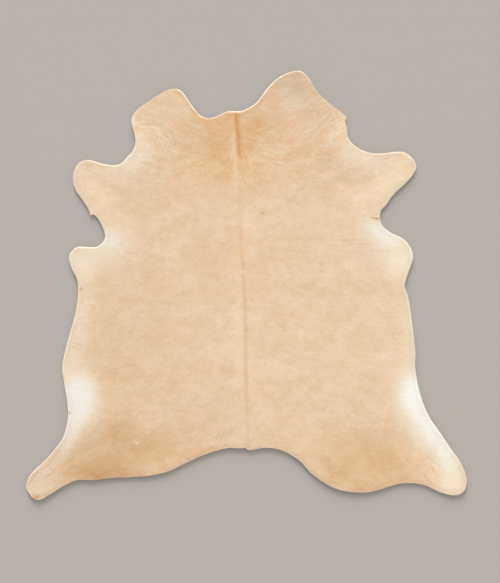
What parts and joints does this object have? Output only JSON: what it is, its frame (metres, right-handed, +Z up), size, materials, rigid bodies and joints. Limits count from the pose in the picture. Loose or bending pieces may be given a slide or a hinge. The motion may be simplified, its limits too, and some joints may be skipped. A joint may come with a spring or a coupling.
{
  "type": "cowhide rug",
  "caption": "Whole short-haired cowhide laid flat as a rug, pale tan with cream edges, with the neck, legs and tail stub left in its cut outline.",
  "frame": {"origin": "middle of the hide's bounding box, on the surface it lies on", "axes": "+X to the right across the legs seen from above, +Y towards the head end, +Z up out of the hair side"},
  "size_m": [2.16, 2.1053, 0.0069],
  "materials": {
    "hair_on_hide": "matte"
  },
  "bodies": {
    "root": {"hide": "hair_on_hide"}
  },
  "joints": []
}
